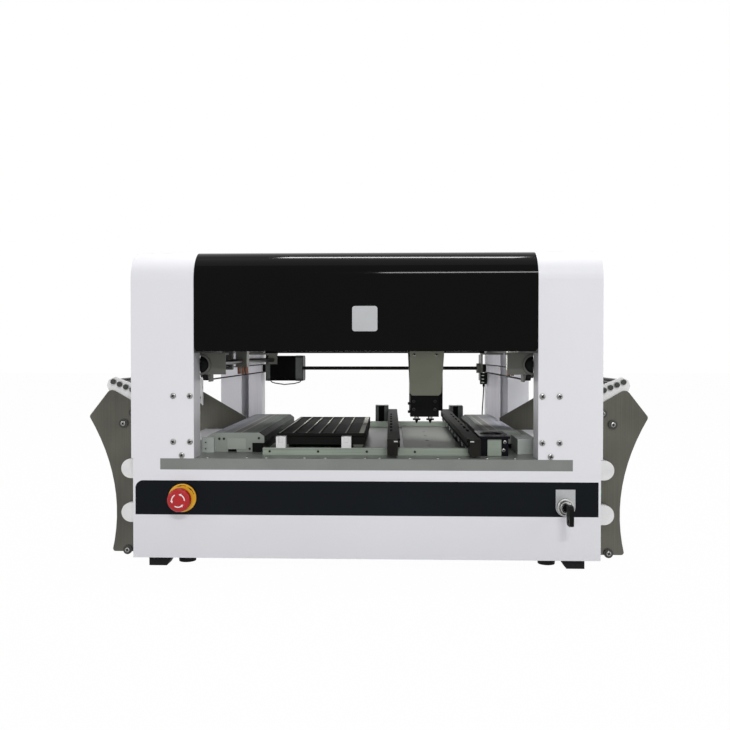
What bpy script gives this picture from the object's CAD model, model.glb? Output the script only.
"""Looks of the desktop pick and place machine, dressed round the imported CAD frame. Metres, row frame."""
import math

import bmesh
import bpy
from mathutils import Matrix, Vector


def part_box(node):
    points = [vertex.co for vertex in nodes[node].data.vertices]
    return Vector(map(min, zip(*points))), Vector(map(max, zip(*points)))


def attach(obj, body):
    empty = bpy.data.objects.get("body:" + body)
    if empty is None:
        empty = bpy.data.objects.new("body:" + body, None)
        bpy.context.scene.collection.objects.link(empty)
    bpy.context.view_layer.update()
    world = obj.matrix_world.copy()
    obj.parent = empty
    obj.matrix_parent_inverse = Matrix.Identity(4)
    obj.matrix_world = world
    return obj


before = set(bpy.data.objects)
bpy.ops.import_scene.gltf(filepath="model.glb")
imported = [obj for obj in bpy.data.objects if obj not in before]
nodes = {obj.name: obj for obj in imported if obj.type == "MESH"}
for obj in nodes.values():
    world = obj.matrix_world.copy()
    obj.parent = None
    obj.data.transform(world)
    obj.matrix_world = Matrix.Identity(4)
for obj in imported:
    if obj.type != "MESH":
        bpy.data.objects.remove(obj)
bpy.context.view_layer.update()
MM = 0.001
FRONT, BACK, UP = (0, -1, 0), (0, 1, 0), (0, 0, 1)
WELD = 1e-6
WHITE = (1, 1, 1, 1)

# ---------------------------------------------------------------- camera, lamps and backdrop
CAMERA_PLACE = (0.0393, -1.509, 0.323)
CAMERA_LENS_MM, CAMERA_SENSOR_MM = 39.16, 36.0
CAMERA_DOWN, CAMERA_LEFT = 0.794, 1.875  # degrees off straight back
CAMERA_CLIP = (0.05, 60.0)
WORLD_LIGHT = 0.34
FLOOR_HALF, FLOOR_DROP, FLOOR_GREY = 12.0, 0.0005, 0.6
FLOOR_WHITE_SHARE = 0.985  # the rest is lit grey and carries a faint shadow

# place, target, size, watts, seen in reflections; the window lamps light the rear posts from inside
LAMPS = {
    "top_softbox": ((0, -0.5, 2.6), (0, 0, 0.3), (2.6, 1.6), 10, True),
    "tube_front": ((0.55, -3.55, 2.45), (0.1, -0.3, 0.4), (1.15, 0.22), 46, True),
    "tube_over": ((0.085, 0.42, 2.9), (0, 0, 0.4), (1.15, 0.3), 42, True),
    "low_front": ((0, -3.4, 0.36), (0, 0, 0.28), (2.6, 0.5), 16, False),
    "window_left": ((-0.06, -0.10, 0.315), (-0.27, 0.33, 0.27), (0.12, 0.03), 0.75, False),
    "window_right": ((0.18, -0.10, 0.315), (0.27, 0.33, 0.27), (0.1, 0.03), 0.6, False),
    "side_left": ((-2.4, -1.6, 1.2), (0, 0, 0.25), (1.2, 1.2), 7, True),
    "side_right": ((2.4, -1.6, 1.2), (0, 0, 0.25), (1.2, 1.2), 7, True),
}


def make_camera():
    data = bpy.data.cameras.new("camera")
    data.lens = CAMERA_LENS_MM
    data.sensor_width = CAMERA_SENSOR_MM
    data.clip_start, data.clip_end = CAMERA_CLIP
    cam = bpy.data.objects.new("camera", data)
    cam.location = CAMERA_PLACE
    cam.rotation_euler = (math.radians(90 - CAMERA_DOWN), 0, math.radians(CAMERA_LEFT))
    bpy.context.scene.collection.objects.link(cam)
    bpy.context.scene.camera = cam


def area_lamp(name, place, target, size, power, mirrored):
    data = bpy.data.lights.new(name, "AREA")
    data.shape = "RECTANGLE"
    data.size, data.size_y = size
    data.energy = power
    lamp = bpy.data.objects.new(name, data)
    lamp.location = place
    lamp.rotation_euler = (Vector(target) - Vector(place)).to_track_quat("-Z", "Y").to_euler()
    lamp.visible_glossy = mirrored
    bpy.context.scene.collection.objects.link(lamp)


def plug(tree, value, socket):
    """Links an output to a socket, or sets a plain value on it."""
    if isinstance(value, bpy.types.NodeSocket):
        tree.links.new(value, socket)
    else:
        socket.default_value = value


def math_node(tree, operation, a, b=None):
    calc = tree.nodes.new("ShaderNodeMath")
    calc.operation = operation
    plug(tree, a, calc.inputs[0])
    if b is not None:
        plug(tree, b, calc.inputs[1])
    return calc.outputs[0]


def eye_mask(tree):
    """1 on camera, glossy and transmission rays, else 0."""
    path = tree.nodes.new("ShaderNodeLightPath")
    direct = math_node(tree, "MAXIMUM", path.outputs["Is Camera Ray"], path.outputs["Is Glossy Ray"])
    return math_node(tree, "MAXIMUM", direct, path.outputs["Is Transmission Ray"])


def blend_to(tree, share, shader, other, output_kind):
    """Sends a mix of two shaders to the tree's output."""
    mix = tree.nodes.new("ShaderNodeMixShader")
    plug(tree, share, mix.inputs[0])
    plug(tree, shader, mix.inputs[1])
    plug(tree, other, mix.inputs[2])
    plug(tree, mix.outputs[0], tree.nodes.new(output_kind).inputs[0])


def background(tree, strength):
    shade = tree.nodes.new("ShaderNodeBackground")
    shade.inputs["Color"].default_value = WHITE
    shade.inputs["Strength"].default_value = strength
    return shade.outputs[0]


def make_world():
    """Soft light all round, which is seen and mirrored as pure white."""
    world = bpy.data.worlds.new("world")
    bpy.context.scene.world = world
    world.use_nodes = True
    tree = world.node_tree
    tree.nodes.clear()
    lit, seen = background(tree, WORLD_LIGHT), background(tree, 1.0)
    blend_to(tree, eye_mask(tree), lit, seen, "ShaderNodeOutputWorld")


def floor_material():
    mat = bpy.data.materials.new("floor_white")
    mat.use_nodes = True
    tree = mat.node_tree
    tree.nodes.clear()
    grey = tree.nodes.new("ShaderNodeBsdfDiffuse")
    grey.inputs["Color"].default_value = (FLOOR_GREY, FLOOR_GREY, FLOOR_GREY, 1)
    white = tree.nodes.new("ShaderNodeEmission")
    white.inputs["Strength"].default_value = 1.0
    share = math_node(tree, "MULTIPLY", eye_mask(tree), FLOOR_WHITE_SHARE)
    blend_to(tree, share, grey.outputs[0], white.outputs[0], "ShaderNodeOutputMaterial")
    return mat


def make_floor():
    mesh = bpy.data.meshes.new("floor")
    s = FLOOR_HALF
    mesh.from_pydata([(-s, -s, 0), (s, -s, 0), (s, s, 0), (-s, s, 0)], [], [(0, 1, 2, 3)])
    floor = bpy.data.objects.new("floor", mesh)
    floor.location.z = -FLOOR_DROP
    bpy.context.scene.collection.objects.link(floor)
    mesh.materials.append(floor_material())


# ---------------------------------------------------------------- materials
CLOUD_DETAIL, GRAIN_DETAIL, LAY_DETAIL = 5, 3, 6
CLOUD_ENDS = 0.3, 0.7
LAY_ALONG, LAY_ACROSS = 6, 700  # noise scale of a brushed lay
LAY_SHARE, LAY_GAIN = 0.35, 1.2
SPECK_SCALE, SPECK_SIZE, SPECK_COLOUR = 420, 0.12, (0.5, 0.5, 0.48, 1)
COAT_ROUGH, LEAST_ROUGH = 0.1, 0.02


def lin(r, g, b):
    """Linear colour of an sRGB one given in 0 to 255."""
    shares = [c / 255 for c in (r, g, b)]
    return tuple(((c + 0.055) / 1.055) ** 2.4 if c > 0.04045 else c / 12.92 for c in shares) + (1,)


def noise_of(tree, coords, scale, detail=2):
    noise = tree.nodes.new("ShaderNodeTexNoise")
    noise.inputs["Scale"].default_value = scale
    noise.inputs["Detail"].default_value = detail
    plug(tree, coords, noise.inputs["Vector"])
    return noise.outputs["Fac"]


def mix_colours(tree, kind, share, colour, other):
    mix = tree.nodes.new("ShaderNodeMixRGB")
    mix.blend_type = kind
    for socket, value in zip(mix.inputs, (share, colour, other)):
        plug(tree, value, socket)
    return mix.outputs[0]


def map_range(tree, value, to_low=0.0, to_high=1.0, from_low=0.0, from_high=1.0):
    span = tree.nodes.new("ShaderNodeMapRange")
    plug(tree, value, span.inputs["Value"])
    span.inputs["From Min"].default_value = from_low
    span.inputs["From Max"].default_value = from_high
    span.inputs["To Min"].default_value = to_low
    span.inputs["To Max"].default_value = to_high
    return span.outputs[0]


def bumped(tree, height, distance, normal):
    """Normal raised by a height, on top of an earlier normal if there is one."""
    bump = tree.nodes.new("ShaderNodeBump")
    bump.inputs["Strength"].default_value = 1.0
    bump.inputs["Distance"].default_value = distance
    plug(tree, height, bump.inputs["Height"])
    if normal:
        plug(tree, normal, bump.inputs["Normal"])
    return bump.outputs[0]


def clouded(tree, noise, colour, vary):
    """Colour that drifts to both sides of its mean along a noise."""
    ramp = tree.nodes.new("ShaderNodeValToRGB")
    ends = ramp.color_ramp.elements
    ends[0].position, ends[1].position = CLOUD_ENDS
    ends[0].color = [c * (1 - vary) for c in colour[:3]] + [1]
    ends[1].color = [min(1, c * (1 + vary)) for c in colour[:3]] + [1]
    plug(tree, noise, ramp.inputs["Fac"])
    return ramp.outputs["Color"]


def brushed_lay(tree, coords, axis):
    """Noise drawn out along one object axis."""
    stretch = tree.nodes.new("ShaderNodeMapping")
    stretch.inputs["Scale"].default_value = [LAY_ALONG if a == axis else LAY_ACROSS for a in "xyz"]
    plug(tree, coords, stretch.inputs["Vector"])
    return noise_of(tree, stretch.outputs[0], 1.0, LAY_DETAIL)


def streaked(tree, lay, base):
    dark = mix_colours(tree, "MULTIPLY", LAY_SHARE, base, lay)
    return mix_colours(tree, "MULTIPLY", 1.0, dark, (LAY_GAIN, LAY_GAIN, LAY_GAIN, 1))


def specked(tree, coords, base, strength):
    """Fine pale specks over a colour."""
    dots = tree.nodes.new("ShaderNodeTexVoronoi")
    dots.inputs["Scale"].default_value = SPECK_SCALE
    plug(tree, coords, dots.inputs["Vector"])
    near = math_node(tree, "LESS_THAN", dots.outputs["Distance"], SPECK_SIZE)
    return mix_colours(tree, "MIX", math_node(tree, "MULTIPLY", near, strength), base, SPECK_COLOUR)


def finish_of(name, colour, rough, metallic=0.0, vary=0.06, cloud=9.0, grain=0.0, grain_scale=900.0,
              brush=None, brush_depth=0.0, spec=0.5, coat=0.0, rough_vary=0.06, speck=0.0):
    """Procedural finish: clouded colour, uneven gloss, fine grain and an optional brushed lay.

    colour is linear, cloud the noise scale per metre, grain a bump height in metres, brush the object axis
    along which a brushed lay runs.
    """
    mat = bpy.data.materials.new(name)
    mat.use_nodes = True
    tree = mat.node_tree
    shader = tree.nodes["Principled BSDF"].inputs
    shader["Metallic"].default_value = metallic
    shader["Specular IOR Level"].default_value = spec
    shader["Coat Weight"].default_value = coat
    shader["Coat Roughness"].default_value = COAT_ROUGH
    coords = tree.nodes.new("ShaderNodeTexCoord").outputs["Object"]
    noise = noise_of(tree, coords, cloud, CLOUD_DETAIL)
    base = clouded(tree, noise, colour, vary)
    normal = None
    if grain:
        normal = bumped(tree, noise_of(tree, coords, grain_scale, GRAIN_DETAIL), grain, normal)
    if brush:
        lay = brushed_lay(tree, coords, brush)
        base = streaked(tree, lay, base)
        normal = bumped(tree, lay, brush_depth, normal)
    if speck:
        base = specked(tree, coords, base, speck)
    if normal:
        plug(tree, normal, shader["Normal"])
    plug(tree, base, shader["Base Color"])
    gloss = map_range(tree, noise, max(LEAST_ROUGH, rough - rough_vary), min(1, rough + rough_vary))
    plug(tree, gloss, shader["Roughness"])
    return mat


# where each band starts, as a share of the way from FEEDER_IN to FEEDER_OUT, and its colour
FEEDER_IN, FEEDER_OUT = 0.165, 0.265
FEEDER_CLOUD, FEEDER_SHADES, FACES_FRONT = 34, (0.72, 1.2), -0.7
FEEDER_BANDS = (
    (0.0, (34, 36, 34)), (0.2, (62, 64, 62)), (0.36, (150, 148, 146)), (0.385, (84, 78, 76)),
    (0.5, (158, 156, 156)), (0.52, (120, 119, 128)), (0.66, (142, 141, 152)), (0.9, (168, 168, 174)),
)


def band_ramp(tree, reach, bands):
    """Plain bands of colour, one after another."""
    ramp = tree.nodes.new("ShaderNodeValToRGB")
    ramp.color_ramp.interpolation = "CONSTANT"
    stops = ramp.color_ramp.elements
    for i, (start, tone) in enumerate(bands):
        stop = stops[i] if i < 2 else stops.new(start)
        stop.position, stop.color = start, lin(*tone)
    plug(tree, reach, ramp.inputs["Fac"])
    return ramp.outputs["Color"]


def feeder_finish():
    """Feeders banded from dark noses to pale outer lids, with plain front faces."""
    mat = finish_of("feeder_bands", lin(150, 155, 149), 0.5, vary=0.08, cloud=22, grain=0.00004, spec=0.1)
    tree = mat.node_tree
    shader = tree.nodes["Principled BSDF"].inputs
    plain = shader["Base Color"].links[0].from_socket
    geo = tree.nodes.new("ShaderNodeNewGeometry").outputs
    place = tree.nodes.new("ShaderNodeSeparateXYZ")
    plug(tree, geo["Position"], place.inputs[0])
    out = math_node(tree, "ABSOLUTE", place.outputs["X"])
    reach = map_range(tree, out, from_low=FEEDER_IN, from_high=FEEDER_OUT)
    worn = map_range(tree, noise_of(tree, geo["Position"], FEEDER_CLOUD), *FEEDER_SHADES)
    banded = mix_colours(tree, "MULTIPLY", 1.0, band_ramp(tree, reach, FEEDER_BANDS), worn)
    facing = tree.nodes.new("ShaderNodeSeparateXYZ")
    plug(tree, geo["Normal"], facing.inputs[0])
    front = math_node(tree, "LESS_THAN", facing.outputs["Y"], FACES_FRONT)
    plug(tree, mix_colours(tree, "MIX", front, banded, plain), shader["Base Color"])
    return mat


M = {
    "white": finish_of("white_coat", lin(221, 221, 226), 0.42, vary=0.015, cloud=5, grain=0.00006,
                       grain_scale=1400),
    "hood": finish_of("black_gloss", lin(3, 4, 3), 0.07, vary=0.1, rough_vary=0.02, spec=0.07, cloud=14),
    "band": finish_of("band_film", lin(14, 18, 23), 0.3, vary=0.05, grain=0.00002, grain_scale=1800,
                      spec=0.08),
    "table": finish_of("table_coat", lin(116, 119, 115), 0.36, vary=0.08, cloud=16, grain=0.00004,
                       speck=0.25, spec=0.6),
    "post": finish_of("post_coat", lin(216, 214, 220), 0.4, metallic=0.1, vary=0.04, brush="z",
                      brush_depth=0.00002),
    "bracket": finish_of("bracket_coat", lin(92, 93, 88), 0.42, metallic=0.2, vary=0.07, cloud=20,
                         grain=0.00004, spec=0.2),
    "alu": finish_of("clear_anodised", lin(176, 178, 180), 0.34, metallic=0.9, vary=0.05, brush="y",
                     brush_depth=0.00002),
    "dark_alu": finish_of("dark_anodised", lin(26, 25, 22), 0.55, vary=0.4, cloud=34, grain=0.00005,
                          spec=0.1),
    "steel": finish_of("ground_steel", lin(190, 190, 188), 0.24, metallic=1.0, vary=0.05, cloud=30,
                       grain=0.00001),
    "screw": finish_of("screw_zinc", lin(146, 146, 144), 0.3, metallic=1.0, vary=0.3, cloud=400),
    "plate": finish_of("plate_coat", lin(128, 131, 124), 0.45, vary=0.08, cloud=14, grain=0.00005,
                       spec=0.25),
    "shaft": finish_of("shaft_oiled", lin(44, 41, 38), 0.3, metallic=0.7, vary=0.12, cloud=30, spec=0.2,
                       grain=0.00001),
    "roller": finish_of("roller_black", lin(58, 58, 56), 0.4, vary=0.3, cloud=120, grain=0.00004,
                        spec=0.3),
    "wing": finish_of("wing_brushed", lin(92, 91, 84), 0.34, metallic=0.75, vary=0.22, cloud=7, brush="z",
                      brush_depth=0.00004, spec=0.2),
    "motor": finish_of("motor_black", lin(7, 7, 8), 0.4, vary=0.12, cloud=30, grain=0.00005, spec=0.06),
    "motor_end": finish_of("motor_cap", lin(88, 92, 90), 0.36, metallic=0.5, vary=0.12, cloud=40,
                           grain=0.00006),
    "belt": finish_of("belt_rubber", lin(26, 26, 26), 0.62, vary=0.15, cloud=60, grain=0.00008, spec=0.2),
    "black": finish_of("black_moulded", lin(12, 14, 13), 0.45, vary=0.12, cloud=40, grain=0.00006,
                       spec=0.08),
    "glass": finish_of("camera_glass", lin(14, 15, 20), 0.25, vary=0.2, cloud=60, spec=0.06),
    "feeder": feeder_finish(),
    "panel": finish_of("panel_coat", lin(160, 167, 158), 0.42, vary=0.05, cloud=30, grain=0.00003,
                       spec=0.3),
    "light": finish_of("light_moulded", lin(178, 184, 180), 0.45, vary=0.03, cloud=30, grain=0.00004),
    "white_block": finish_of("white_moulded", lin(222, 222, 222), 0.34, vary=0.05, cloud=60,
                             grain=0.00004),
    "yellow": finish_of("yellow_disc", lin(234, 176, 48), 0.35, vary=0.05, cloud=40, grain=0.00003),
    "red": finish_of("red_moulded", lin(172, 16, 22), 0.25, vary=0.06, cloud=50, coat=0.2, spec=0.3),
    "green": finish_of("green_moulded", lin(30, 132, 82), 0.25, vary=0.06, cloud=50, coat=0.3),
    "head": finish_of("head_coat", lin(140, 142, 127), 0.42, metallic=0.1, vary=0.1, cloud=12,
                      grain=0.00004, spec=0.2),
    "tray": finish_of("tray_antistatic", lin(17, 18, 16), 0.55, vary=0.2, cloud=30, grain=0.00006,
                      spec=0.08),
    "tray_line": finish_of("tray_line", lin(158, 157, 148), 0.5, vary=0.12, cloud=60, grain=0.00003,
                           spec=0.2),
    "foot": finish_of("rubber_foot", lin(20, 20, 20), 0.7, vary=0.15, cloud=60, grain=0.0001, spec=0.2),
    "bar": finish_of("bar_coat", lin(150, 160, 148), 0.42, metallic=0.1, vary=0.07, cloud=18, brush="x",
                     brush_depth=0.00002, spec=0.3),
    "brass": finish_of("brass_worn", lin(120, 86, 70), 0.3, metallic=0.8, vary=0.35, cloud=160),
    "print": finish_of("pale_ink", lin(226, 226, 226), 0.45, vary=0.03, cloud=80),
    "mark": finish_of("dark_ink", lin(52, 44, 24), 0.5, vary=0.05, cloud=80),
}

NODE_MATERIAL = {
    "base_housing": "white", "left_side_cover": "white", "right_side_cover": "white",
    "hood_cover": "hood", "front_band": "band", "table_plate": "table", "frame_posts": "post",
    "y_beams": "bracket", "y_rails": "shaft", "y_brackets": "bracket", "base_motors": "motor",
    "base_belts": "belt", "limit_sensor": "black", "cables": "belt", "fixed_rail": "dark_alu",
    "cross_bars": "bar", "support_plate": "plate", "matrix_tray": "tray", "tray_carrier": "bracket",
    "tray_clamps": "white_block", "up_camera": "glass", "left_feeders": "feeder",
    "right_feeders": "feeder", "feeder_blocks": "black", "feeder_end_blocks": "light",
    "left_wing_plates": "wing", "right_wing_plates": "wing", "wing_rods": "roller",
    "roller_plates": "white_block", "stop_plate": "yellow", "key_plate": "alu", "key_lock": "black",
    "button_guards": "white_block", "feet": "foot", "rear_panel": "black", "gantry_beam": "alu",
    "gantry_carriages": "bracket", "x_motor": "motor", "x_belt": "belt", "x_drive_pulley": "alu",
    "x_idle_pulley": "alu", "head_carriage": "black", "head_cover": "head", "nozzle_block": "black",
    "z_motors": "motor", "left_quill": "steel", "right_quill": "steel", "left_nozzle": "black",
    "right_nozzle": "black", "y_shaft": "shaft", "left_idler": "alu", "right_idler": "alu",
    "moving_rail": "dark_alu", "moving_rail_motor": "motor", "fixed_pulley": "alu",
    "moving_pulley": "alu", "stop_button": "red", "key": "black", "red_button": "red",
    "green_button": "green",
}

SOFT_EDGE, SOFT_ANGLE = 0.0007, 50
FINE_BEVEL, SHARP_ANGLE = 0.0003, 35
SOFT_NODES = ("tray_clamps", "feeder_end_blocks", "cross_bars", "up_camera", "nozzle_block",
              "table_plate", "key_plate")


def dress_nodes():
    for name, key in NODE_MATERIAL.items():
        piece = nodes[name]
        if not piece.material_slots:
            piece.data.materials.append(M[key])
        for place in piece.material_slots:
            place.material = M[key]


def soften_nodes():
    """Breaks the sharp edges of some CAD nodes with a fine bevel."""
    for name in SOFT_NODES:
        bevel = nodes[name].modifiers.new("edges", "BEVEL")
        bevel.width, bevel.segments, bevel.limit_method = SOFT_EDGE, 2, "ANGLE"
        bevel.angle_limit = math.radians(SOFT_ANGLE)


# ---------------------------------------------------------------- mesh helpers
def frame_of(place, axis):
    """Matrix that puts local Z along axis at place."""
    return Matrix.Translation(place) @ Vector(axis).to_track_quat("Z", "Y").to_matrix().to_4x4()


def facing_front(x, y, z):
    """Local X to the right, local Y up and local Z towards the viewer."""
    return Matrix.Translation((x, y, z)) @ Matrix.Rotation(math.radians(90), 4, "X")


def ring_of(bm, m, r, h, seg, hexagon):
    """Vertices of one ring about local Z, or a single one on the axis."""
    if r == 0:
        return [bm.verts.new(m @ Vector((0, 0, h)))]
    ring = []
    for k in range(seg):
        a = 2 * math.pi * k / seg
        q = r / math.cos((a + math.pi / 6) % (math.pi / 3) - math.pi / 6) if hexagon else r
        ring.append(bm.verts.new(m @ Vector((q * math.cos(a), q * math.sin(a), h))))
    return ring


def add_lathe(bm, profile, place, axis, seg, hexed=()):
    """Revolves (radius, height) pairs about the axis. Rings listed in hexed take a hexagon's outline."""
    m = frame_of(place, axis)
    rings = [ring_of(bm, m, r, h, seg, i in hexed) for i, (r, h) in enumerate(profile)]
    for lo, hi in zip(rings, rings[1:]):
        for k in range(seg):
            n = (k + 1) % seg
            if len(lo) == 1 and len(hi) == 1:
                continue
            if len(lo) == 1:
                bm.faces.new((lo[0], hi[n], hi[k]))
            elif len(hi) == 1:
                bm.faces.new((lo[k], lo[n], hi[0]))
            else:
                bm.faces.new((lo[k], lo[n], hi[n], hi[k]))


def add_pin(bm, place, axis, r, length, seg=20):
    """Short round pin with broken edges."""
    c = min(r * 0.2, 0.0006)
    profile = [(0, length), (r - c, length), (r, length - c), (r, c), (r - c, 0), (0, 0)]
    add_lathe(bm, profile, place, axis, seg)


def add_box(bm, low, high):
    lo, hi = Vector(low), Vector(high)
    v = [bm.verts.new((x, y, z)) for x in (lo.x, hi.x) for y in (lo.y, hi.y) for z in (lo.z, hi.z)]
    for f in ((0, 1, 3, 2), (4, 6, 7, 5), (0, 4, 5, 1), (2, 3, 7, 6), (0, 2, 6, 4), (1, 5, 7, 3)):
        bm.faces.new([v[i] for i in f])


def add_plate(bm, outline, m, thick):
    """Closed plate from a counter-clockwise outline in local X and Y, standing up along local Z."""
    low = [bm.verts.new(m @ Vector((x, y, 0))) for x, y in outline]
    high = [bm.verts.new(m @ Vector((x, y, thick))) for x, y in outline]
    bm.faces.new(list(reversed(low)))
    bm.faces.new(high)
    n = len(outline)
    for i in range(n):
        j = (i + 1) % n
        bm.faces.new((low[i], low[j], high[j], high[i]))


def rounded(w, h, r, n=6):
    """Rounded rectangle about the origin."""
    x, y = w / 2 - r, h / 2 - r
    pts = []
    for cx, cy, start in ((x, y, 0), (-x, y, 90), (-x, -y, 180), (x, -y, 270)):
        for i in range(n + 1):
            a = math.radians(start + 90 * i / n)
            pts.append((cx + r * math.cos(a), cy + r * math.sin(a)))
    return pts


def arrow(r0, r1, a0, a1, steps=8):
    """Outline of a curved arrow about the origin, from angle a0 to a1 in degrees."""
    def at(r, a):
        return (r * math.cos(math.radians(a)), r * math.sin(math.radians(a)))
    mid, flare, head_turn = (r0 + r1) / 2, (r1 - r0) * 0.8, 22
    outer = [at(r1, a0 + (a1 - a0) * i / steps) for i in range(steps + 1)]
    inner = [at(r0, a1 - (a1 - a0) * i / steps) for i in range(steps + 1)]
    tip = [at(r1 + flare, a1), at(mid, a1 + head_turn), at(r0 - flare, a1)]
    return outer + tip + inner


def weld(bm):
    """Joins the first and last rings of a closed lathe profile."""
    bmesh.ops.remove_doubles(bm, verts=bm.verts, dist=WELD)


def finish_piece(name, bm, key, body="base", bevel=0.0):
    """Turns a bmesh into a piece that rides on a body."""
    bmesh.ops.recalc_face_normals(bm, faces=bm.faces)
    mesh = bpy.data.meshes.new(name)
    bm.to_mesh(mesh)
    bm.free()
    piece = bpy.data.objects.new(name, mesh)
    bpy.context.scene.collection.objects.link(piece)
    mesh.materials.append(M[key])
    if bevel:
        mod = piece.modifiers.new("edges", "BEVEL")
        mod.width, mod.segments, mod.limit_method = bevel, 2, "ANGLE"
    mesh.shade_smooth()
    mesh.set_sharp_from_angle(angle=math.radians(SHARP_ANGLE))
    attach(piece, body)


def screws(name, spots, body="base", r=0.0045, key="screw"):
    """Pan-head screws with a dark cross recess; spots holds (place, axis) pairs."""
    heads, marks = bmesh.new(), bmesh.new()
    h, w, t = r * 0.5, r * 0.58, r * 0.17
    profile = [(0, h), (r * 0.6, h * 0.96), (r * 0.88, h * 0.7), (r, h * 0.22), (r, 0), (0, 0)]
    cross = [(t, -w), (t, -t), (w, -t), (w, t), (t, t), (t, w),
             (-t, w), (-t, t), (-w, t), (-w, -t), (-t, -t), (-t, -w)]
    for place, axis in spots:
        add_lathe(heads, profile, place, axis, 20)
        # each recess is turned by an angle that follows from its place
        spin = Matrix.Rotation(place[0] * 40 + place[2] * 17, 4, "Z")
        sunk = Matrix.Translation((0, 0, h * 0.9)) @ spin
        add_plate(marks, cross, frame_of(place, axis) @ sunk, h * 0.13)
    finish_piece(name, heads, key, body)
    finish_piece(name + "_recesses", marks, "black", body)


# ---------------------------------------------------------------- covers, hood and base
COVER_SCREWS = ((0.265, 0.2595), (0.2905, 0.2595), (0.265, 0.19), (0.2905, 0.19), (0.2775, 0.1695))
COVER_SIDE_INSET, COVER_SIDE_HEIGHTS = 0.021, (0.19, 0.2595)
HOOD_PLATE, HOOD_PLATE_R, HOOD_PLATE_THICK, HOOD_PLATE_Z = 0.038, 0.004, 0.0012, 0.376
TABLE_SCREWS_MM = (-300, -240, -180, -150, -92, -60, 0, 22, 68, 110, 142, 184, 226, 268, 300)
TABLE_SCREW_INSET = 0.009
REAR_SCREWS_X_MM, REAR_SCREWS_Z_MM = (-335, -120, 335), (30, 140)


def dress_covers():
    lo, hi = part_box("right_side_cover")
    spots = []
    for s in (-1, 1):
        for face, axis in ((lo.y, FRONT), (hi.y, BACK)):
            spots += [((s * x, face, z), axis) for x, z in COVER_SCREWS]
        for y in (lo.y + COVER_SIDE_INSET, hi.y - COVER_SIDE_INSET):
            spots += [((s * hi.x, y, z), (s, 0, 0)) for z in COVER_SIDE_HEIGHTS]
    screws("cover_screws", spots, r=0.0046)


def dress_hood():
    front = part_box("hood_cover")[0].y
    bm = bmesh.new()
    outline = rounded(HOOD_PLATE, HOOD_PLATE, HOOD_PLATE_R)
    add_plate(bm, outline, facing_front(0, front, HOOD_PLATE_Z), HOOD_PLATE_THICK)
    finish_piece("hood_plate", bm, "alu", bevel=FINE_BEVEL)


def dress_base():
    lo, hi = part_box("table_plate")
    y = lo.y + TABLE_SCREW_INSET
    screws("table_screws", [((x * MM, y, hi.z), UP) for x in TABLE_SCREWS_MM], r=0.0028)


def dress_rear():
    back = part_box("base_housing")[1].y
    spots = [((x * MM, back, z * MM), BACK) for x in REAR_SCREWS_X_MM for z in REAR_SCREWS_Z_MM]
    screws("rear_screws", spots, r=0.0036)


# ---------------------------------------------------------------- emergency stop and key switch
STOP_ARROW_R, STOP_ARROW_TURNS, STOP_ARROW_SWEEP = (0.0088, 0.0104), (0, 120, 240), 62
STOP_ARROW_THICK, DISC_ARROW_THICK, DISC_ARROW_SINK = 0.0006, 0.0003, 0.0001
STOP_FACE_SINK = 0.0011  # the arrows start this far behind the head's foremost point
DISC_ARROW_R, DISC_ARROW_TURNS, DISC_ARROW_SWEEP = (0.0184, 0.0192), (18, 70, 200, 250), 24
NUT_RING = [(0.0092, 0.0001), (0.0098, 0.0009), (0.0118, 0.0009), (0.0126, 0.0001), (0.0128, -0.003),
            (0.0124, -0.003), (0.0092, 0.0001)]
NUT_RING_SINK = 0.0025
BARREL_RING = [(0.0056, 0.0001), (0.006, 0.0006), (0.0082, 0.0006), (0.0089, 0.0001), (0.0091, -0.0022),
               (0.0088, -0.0022), (0.0056, 0.0001)]


def middle_xz(lo, hi):
    return (lo.x + hi.x) / 2, (lo.z + hi.z) / 2


def dress_stop():
    lo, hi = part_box("stop_button")
    x, z = middle_xz(lo, hi)
    bm = bmesh.new()
    face = facing_front(x, lo.y + STOP_FACE_SINK, z)
    for a in STOP_ARROW_TURNS:
        add_plate(bm, arrow(*STOP_ARROW_R, a, a + STOP_ARROW_SWEEP), face, STOP_ARROW_THICK)
    finish_piece("stop_arrows", bm, "print", "emergency_stop")
    bm = bmesh.new()
    face = facing_front(x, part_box("stop_plate")[0].y + DISC_ARROW_SINK, z)
    for a in DISC_ARROW_TURNS:
        add_plate(bm, arrow(*DISC_ARROW_R, a, a + DISC_ARROW_SWEEP), face, DISC_ARROW_THICK)
    finish_piece("stop_plate_arrows", bm, "mark")


def dress_lock():
    lo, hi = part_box("key_lock")
    x, z = middle_xz(lo, hi)
    bm = bmesh.new()
    add_lathe(bm, NUT_RING, (x, lo.y + NUT_RING_SINK, z), FRONT, 40)
    add_lathe(bm, BARREL_RING, (x, lo.y, z), FRONT, 40)
    weld(bm)
    finish_piece("lock_rings", bm, "steel")


# ---------------------------------------------------------------- placing head
BLOCK_SCREWS_X_MM, BLOCK_SCREWS_Z_MM = (77.7, 113.4), (229.7, 243.2)
HEAD_SCREWS_X_MM, HEAD_SCREWS_Z = (78.4, 115.9), 0.3215


def dress_head():
    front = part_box("head_cover")[0].y
    spots = [((x * MM, front, z * MM), FRONT) for x in BLOCK_SCREWS_X_MM for z in BLOCK_SCREWS_Z_MM]
    screws("head_block_screws", spots, "head", r=0.0027, key="roller")
    spots = [((x * MM, front, HEAD_SCREWS_Z), FRONT) for x in HEAD_SCREWS_X_MM]
    screws("head_cover_screws", spots, "head", r=0.0027)


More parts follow.
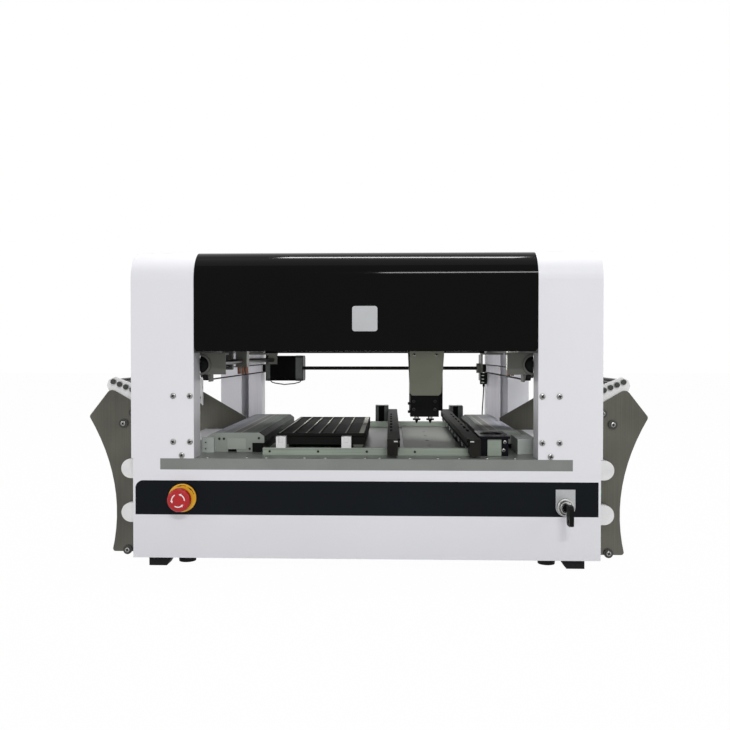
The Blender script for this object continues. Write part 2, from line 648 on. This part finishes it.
# ---------------------------------------------------------------- component tray
LANES, LANE_RIB, TRAY_EDGE, TRAY_RIGHT_EDGE = 6, 0.003, 0.005, 0.011
LANE_END, LANE_DEPTH, STRIP_TOP, LANE_PLAY = 0.0072, 0.0069, 0.0012, 0.0001
LINE_OUT, LINE_WIDTH, LINE_END, LINE_HEIGHT = 0.0024, 0.0018, 0.004, 0.0004
TEETH, TOOTH, TEETH_GAP, TEETH_EDGE, TEETH_END, TOOTH_HEIGHT = 54, 0.0034, 0.002, 0.0015, 0.006, 0.0005


def add_teeth(bm, x, lo, hi):
    """Pale teeth in a row along the tray's right edge."""
    for k in range(TEETH):
        y = lo.y + TEETH_END + k * (hi.y - lo.y - 2 * TEETH_END) / TEETH
        add_box(bm, (x, y, hi.z), (hi.x - TEETH_EDGE, y + TOOTH, hi.z + TOOTH_HEIGHT))


def dress_tray():
    """Dark strips in the lanes, and pale lines on the ribs."""
    lo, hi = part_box("matrix_tray")
    lane = (hi.x - lo.x - TRAY_EDGE - TRAY_RIGHT_EDGE - LANE_RIB * (LANES - 1)) / LANES
    lines, strips = bmesh.new(), bmesh.new()
    for i in range(LANES):
        x = lo.x + TRAY_EDGE + i * (lane + LANE_RIB)
        add_box(strips, (x + LANE_PLAY, lo.y + LANE_END, hi.z - LANE_DEPTH),
                (x + lane - LANE_PLAY, hi.y - LANE_END, hi.z - STRIP_TOP))
        left, right = x - LINE_OUT, x - LINE_OUT + LINE_WIDTH
        add_box(lines, (left, lo.y + LINE_END, hi.z), (right, hi.y - LINE_END, hi.z + LINE_HEIGHT))
    last = lo.x + TRAY_EDGE + LANES * (lane + LANE_RIB) - LANE_RIB
    add_teeth(lines, last + TEETH_GAP, lo, hi)
    finish_piece("tray_strips", strips, "tray", bevel=FINE_BEVEL)
    finish_piece("tray_lines", lines, "tray_line")


# ---------------------------------------------------------------- feeders and upward camera
FEEDER_PANEL, FEEDER_PANEL_X, FEEDER_PANEL_Z = (0.030, 0.0175, 0.0015), -0.210, 0.1779
FEEDER_SCREWS_MM = ((-238, 186), (-230.5, 186), (-173.8, 187.2), (-188.7, 170))
CAMERA_PANEL, CAMERA_PANEL_X, CAMERA_PANEL_RISE = (0.0215, 0.0255, 0.001), 0.1993, 0.0131
FEEDER_PANEL_THICK, CAMERA_PANEL_THICK, CAMERA_BODY_INSET = 0.0009, 0.0011, 0.005
CAMERA_SCREWS = ((0.2155, 0.1865), (0.2135, 0.1738))
CAMERA_RING = [(0.0166, 0.0001), (0.0168, 0.0006), (0.0178, 0.0006), (0.0181, 0.0001), (0.0166, 0.0001)]


def dress_feeders():
    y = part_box("left_feeders")[0].y
    bm = bmesh.new()
    add_plate(bm, rounded(*FEEDER_PANEL), facing_front(FEEDER_PANEL_X, y, FEEDER_PANEL_Z), FEEDER_PANEL_THICK)
    finish_piece("feeder_side_panel", bm, "panel", bevel=FINE_BEVEL)
    spots = [((x * MM, y, z * MM), FRONT) for x, z in FEEDER_SCREWS_MM]
    screws("feeder_screws", spots, r=0.0021, key="roller")


def dress_camera():
    lo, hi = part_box("up_camera")
    y = lo.y + CAMERA_BODY_INSET
    bm = bmesh.new()
    face = facing_front(CAMERA_PANEL_X, y, lo.z + CAMERA_PANEL_RISE)
    add_plate(bm, rounded(*CAMERA_PANEL), face, CAMERA_PANEL_THICK)
    finish_piece("camera_body_panel", bm, "bar", bevel=FINE_BEVEL)
    screws("camera_screws", [((x, y, z), FRONT) for x, z in CAMERA_SCREWS], r=0.0031)
    bm = bmesh.new()
    add_lathe(bm, CAMERA_RING, ((lo.x + hi.x) / 2, (lo.y + hi.y) / 2, hi.z), UP, 48)
    weld(bm)
    finish_piece("camera_ring", bm, "dark_alu")


# ---------------------------------------------------------------- board track
# rail, inner face, side that the face looks to, body
RAILS = (("fixed_rail", 0.159, -1, "base"), ("moving_rail", 0.0496, 1, "track_width"))
STUDS, STUD_START, STUD_ENDS, STUD_LENGTH, STUD_REACH = 9, 0.052, 0.1, 0.005, 0.0022
STUD_LOW, STUD_TOP = 0.1698, 0.1772
CLIP_WIDTH, CLIP_THICK, CLIP_LOW, CLIP_TOP = 0.0058, 0.0007, 0.1896, 0.1914
BAR_SCREWS_X, BAR_SCREWS_Z = (-0.1507, -0.0746, 0.0015, 0.0766), 0.1706
GROOVE_START, GROOVE_END, GROOVE_DEPTH, GROOVE_LOW, GROOVE_TOP = 0.001, 0.192, 0.0002, 0.1733, 0.1736


def add_studs(bm, x, reach, lo, hi):
    inner, outer = sorted((x, x + reach))
    for k in range(STUDS):
        y = lo.y + STUD_START + k * (hi.y - lo.y - STUD_ENDS) / (STUDS - 1)
        add_box(bm, (inner, y, STUD_LOW), (outer, y + STUD_LENGTH, STUD_TOP))


def dress_rails():
    """Studs along the rails' inner webs and the bright end clips."""
    for name, x, side, body in RAILS:
        lo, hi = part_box(name)
        studs, clip = bmesh.new(), bmesh.new()
        add_studs(studs, x, side * STUD_REACH, lo, hi)
        finish_piece(name + "_studs", studs, "light", body, bevel=FINE_BEVEL)
        inner, outer = sorted((x, x - side * CLIP_WIDTH))
        add_box(clip, (inner, lo.y - CLIP_THICK, CLIP_LOW), (outer, lo.y, CLIP_TOP))
        finish_piece(name + "_clip", clip, "light", body)


def dress_bar():
    """Screws and a groove line along the front cross bar."""
    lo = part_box("cross_bars")[0]
    screws("bar_screws", [((x, lo.y, BAR_SCREWS_Z), FRONT) for x in BAR_SCREWS_X], r=0.002, key="roller")
    bm = bmesh.new()
    low = (lo.x + GROOVE_START, lo.y - GROOVE_DEPTH, GROOVE_LOW)
    add_box(bm, low, (lo.x + GROOVE_END, lo.y, GROOVE_TOP))
    finish_piece("bar_groove", bm, "bracket")


# ---------------------------------------------------------------- brackets, rollers and sensor
BUMPER_X, BUMPER_Y, BUMPER_Z = 0.2583, -0.2771, 0.3065
RIM = [(0.0128, 0.0), (0.0166, 0.0), (0.0166, 0.0016), (0.0158, 0.0024), (0.0136, 0.0024), (0.0128, 0.0016),
       (0.0128, 0.0)]
BUMPER = [(0, 0.0052), (0.003, 0.005), (0.0036, 0.0036), (0.0085, 0.0032), (0.0112, 0.0016), (0.0127, 0.0),
          (0, 0.0)]
BUMPER_PARTS = (("rim", "bracket", RIM), ("bumper", "black", BUMPER))
# the x of each, y, z and length of the gantry's brass rollers
BRASS_ROLLERS = (
    ((-0.2338, -0.2272, -0.2206), -0.088, 0.2872, 0.0128),
    ((0.2468, 0.2536), -0.0993, 0.2842, 0.0132),
)
ROLLER_R = 0.0031
SENSOR_PINS, PIN_START, PIN_END, PIN_PROUD, PIN_HEIGHT = (0.28, 0.52, 0.78), 0.003, 0.0085, 0.0005, 0.0018


def cut_outside(bm, x):
    """Cuts off what lies beyond a plane across X and closes the cut."""
    everything = bm.verts[:] + bm.edges[:] + bm.faces[:]
    bmesh.ops.bisect_plane(bm, geom=everything, plane_co=(x, 0, 0), plane_no=(math.copysign(1, x), 0, 0),
                           clear_outer=True)
    bmesh.ops.holes_fill(bm, edges=[e for e in bm.edges if e.is_boundary])


def dress_brackets():
    """Round bumpers on the front brackets, cut off by the side walls."""
    for x, side in ((-BUMPER_X, "left"), (BUMPER_X, "right")):
        for part, key, profile in BUMPER_PARTS:
            bm = bmesh.new()
            add_lathe(bm, profile, (x, BUMPER_Y, BUMPER_Z), FRONT, 48)
            weld(bm)
            cut_outside(bm, x)
            finish_piece(side + "_" + part, bm, key)


def dress_gantry():
    """Brass rollers that ride with the gantry."""
    bm = bmesh.new()
    for places, y, z, length in BRASS_ROLLERS:
        for x in places:
            add_pin(bm, (x, y, z), UP, ROLLER_R, length)
    finish_piece("brass_rollers", bm, "brass", "gantry")


def dress_sensor():
    lo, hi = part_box("limit_sensor")
    bm = bmesh.new()
    for share in SENSOR_PINS:
        h = lo.z + (hi.z - lo.z) * share
        add_box(bm, (lo.x + PIN_START, lo.y - PIN_PROUD, h), (lo.x + PIN_END, lo.y, h + PIN_HEIGHT))
    finish_piece("sensor_pins", bm, "light")


# ---------------------------------------------------------------- wings
HALF_WIDTH, TABLE_TOP = 0.352, 0.165
WING_SCREWS = ((0.029, 0.049), (0.013, 0.066), (0.023, -0.150))  # out of the base's side, over the table
WING_SCREW_PROUD = 0.0035
ROLLER_ENDS, FIRST_OUT, STEP_OUT, FIRST_UP, STEP_UP, ROLLER_INSET = 4, 0.016, 0.010, 0.102, 0.0042, 0.003
FLANGE = [(0, 0.0012), (0.0048, 0.0012), (0.005, 0.001), (0.005, 0), (0, 0)]
KNOB = [(0, 0.005), (0.0032, 0.005), (0.0038, 0.0044), (0.0038, 0.0012), (0, 0.0012)]
KNOB_HEX_RINGS = (1, 2, 3)


def dress_wings():
    """Bolt heads on the wing plates, and the roller ends with their flanges above them."""
    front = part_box("left_wing_plates")[0].y
    spots = []
    knobs, flanges = bmesh.new(), bmesh.new()
    for s in (-1, 1):
        for out, up in WING_SCREWS:
            spots.append(((s * (HALF_WIDTH + out), front - WING_SCREW_PROUD, TABLE_TOP + up), FRONT))
        for i in range(ROLLER_ENDS):
            x = s * (HALF_WIDTH + FIRST_OUT + STEP_OUT * i)
            place = (x, front + ROLLER_INSET, TABLE_TOP + FIRST_UP + STEP_UP * i)
            add_lathe(flanges, FLANGE, place, FRONT, 24)
            add_lathe(knobs, KNOB, place, FRONT, 18, hexed=KNOB_HEX_RINGS)
    screws("wing_screws", spots, r=0.0042)
    finish_piece("roller_flanges", flanges, "light")
    finish_piece("roller_ends", knobs, "roller")


# ---------------------------------------------------------------- motors
CAP_PROUD, CAP_INSET_SHARE = 0.0006, 0.02
# ends along X, middle's y and z, half width, body, and the shares of the length that the two caps take
MOTORS = {
    "y_motor_caps": (-0.2435, -0.1615, 0.322, 0.2905, 0.0285, "base", 0.09, 0.18),
    "fixed_rail_motor_caps": (0.175, 0.205, 0.343, 0.184, 0.019, "base", 0.24, 0.36),
    "moving_rail_motor_caps": (0.0036, 0.0336, 0.343, 0.18435, 0.019, "track_width", 0.24, 0.3),
}


def octagon(half):
    """Square with cut corners, as a stepper motor's section has."""
    c = half * 0.2
    return [(half, -half + c), (half, half - c), (half - c, half), (-half + c, half), (-half, half - c),
            (-half, -half + c), (-half + c, -half), (half - c, -half)]


def add_band(bm, half, m, thick):
    """Closed ring round a motor's section."""
    rings = [[bm.verts.new(m @ Vector((x, y, h))) for x, y in octagon(r)]
             for r, h in ((half, 0), (half + CAP_PROUD, 0), (half + CAP_PROUD, thick), (half, thick))]
    for lo, hi in zip(rings, rings[1:] + rings[:1]):
        for i in range(8):
            j = (i + 1) % 8
            bm.faces.new((lo[i], lo[j], hi[j], hi[i]))


def dress_motor(name, x0, x1, y, z, half, body, left, right):
    """Grey end caps round a motor whose shaft runs along X."""
    bm = bmesh.new()
    turn = Matrix.Rotation(math.radians(90), 4, "Y") @ Matrix.Rotation(math.radians(90), 4, "Z")
    length = x1 - x0
    far_end = x1 - length * CAP_INSET_SHARE
    for a, b in ((x0, x0 + length * left), (x1 - length * (right + CAP_INSET_SHARE), far_end)):
        add_band(bm, half, Matrix.Translation((a, y, z)) @ turn, b - a)
    finish_piece(name, bm, "motor_end", body)


make_camera()
make_world()
make_floor()
for lamp_name, lamp in LAMPS.items():
    area_lamp(lamp_name, *lamp)
dress_nodes()
soften_nodes()
dress_covers()
dress_hood()
dress_base()
dress_stop()
dress_lock()
dress_head()
dress_tray()
dress_feeders()
dress_camera()
dress_rails()
dress_brackets()
dress_gantry()
dress_wings()
dress_sensor()
dress_bar()
dress_rear()
for motor_name, motor in MOTORS.items():
    dress_motor(motor_name, *motor)
bpy.context.scene.view_settings.view_transform = "Standard"
